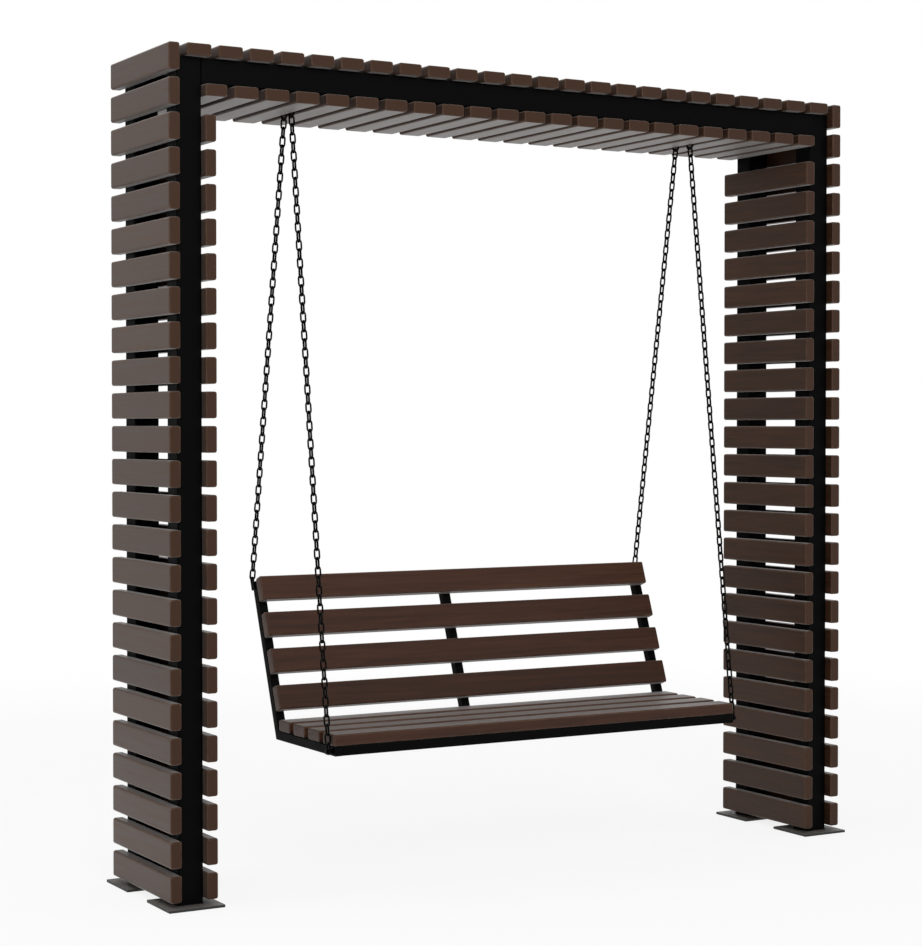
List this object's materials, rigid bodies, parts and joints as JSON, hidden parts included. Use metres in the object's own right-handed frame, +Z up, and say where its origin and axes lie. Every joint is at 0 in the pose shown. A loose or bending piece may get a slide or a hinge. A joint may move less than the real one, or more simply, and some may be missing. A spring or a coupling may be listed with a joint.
{
  "type": "hanging bench",
  "caption": "Slatted timber portal with a flat roof, from which a slatted bench with a leaning back hangs on link chains and swings to and fro.",
  "frame": {"origin": "On the ground, in the middle of the portal's width and half way between its front and rear posts.", "axes": "+Z is up, +X runs along the bench to its right-hand end as seen from the front, and the bench faces -Y, so +Y is behind its back."},
  "size_m": [2.56, 0.6037, 2.565],
  "materials": {
    "timber": "dark brown stain, satin, fine grain",
    "black_steel": "black powder coat, satin",
    "plate_steel": "dark grey paint, dusty",
    "chain_steel": "blackened, dull"
  },
  "bodies": {
    "portal": {"left_front_post_with_slats": "timber", "left_rear_post_with_slats": "timber", "right_front_post_with_slats": "timber", "right_rear_post_with_slats": "timber", "front_beam_with_roof": "timber", "ceiling_slat_01": "timber", "ceiling_slat_02": "timber", "ceiling_slat_03": "timber", "ceiling_slat_04": "timber", "ceiling_slat_05": "timber", "ceiling_slat_06": "timber", "ceiling_slat_07": "timber", "ceiling_slat_08": "timber", "ceiling_slat_09": "timber", "ceiling_slat_10": "timber", "ceiling_slat_11": "timber", "ceiling_slat_12": "timber", "ceiling_slat_13": "timber", "ceiling_slat_14": "timber", "ceiling_slat_15": "timber", "ceiling_slat_16": "timber", "ceiling_slat_17": "timber", "ceiling_slat_18": "timber", "ceiling_slat_19": "timber", "ceiling_slat_20": "timber", "ceiling_slat_21": "timber", "ceiling_slat_22": "timber", "ceiling_slat_23": "timber", "left_front_base_plate": "plate_steel", "left_rear_base_plate": "plate_steel", "right_front_base_plate": "plate_steel", "right_rear_base_plate": "plate_steel", "rear_beam": "black_steel", "left_hanger_bar": "black_steel", "right_hanger_bar": "black_steel", "left_front_eye_bolt": "chain_steel", "left_rear_eye_bolt": "chain_steel", "right_front_eye_bolt": "chain_steel", "right_rear_eye_bolt": "chain_steel"},
    "rear_chains": {"left_rear_chain": "chain_steel", "right_rear_chain": "chain_steel"},
    "bench": {"seat_slat_1": "timber", "seat_slat_2": "timber", "seat_slat_3": "timber", "seat_slat_4": "timber", "back_slat_1": "timber", "back_slat_2": "timber", "back_slat_3": "timber", "back_slat_4": "timber", "left_frame": "black_steel", "middle_frame": "black_steel", "right_frame": "black_steel", "front_rail": "black_steel", "left_rear_lug": "black_steel", "right_rear_lug": "black_steel", "left_chain_bolt": "chain_steel", "right_chain_bolt": "chain_steel"},
    "front_chains": {"left_front_chain": "chain_steel", "right_front_chain": "chain_steel"}
  },
  "joints": [
    {"name": "rear_chains_swing", "type": "hinge", "parent": "portal", "child": "rear_chains", "pos_m": [0, 0.047, 2.4082], "axis": [1, 0, 0], "range_deg": [-20, 20]},
    {"name": "bench_on_rear_chains", "type": "hinge", "parent": "rear_chains", "child": "bench", "pos_m": [0, 0.29546, 0.93278], "axis": [1, 0, 0], "range_deg": [-2.9, 2.9]},
    {"name": "front_chains_on_bench", "type": "hinge", "parent": "bench", "child": "front_chains", "pos_m": [0, -0.279, 0.4422], "axis": [1, 0, 0], "range_deg": [-2.2, 2.2]}
  ],
  "couplings": [
    {"joint": "bench_on_rear_chains", "follows": "rear_chains_swing", "ratio": -0.1448},
    {"joint": "front_chains_on_bench", "follows": "rear_chains_swing", "ratio": 0.1083}
  ]
}
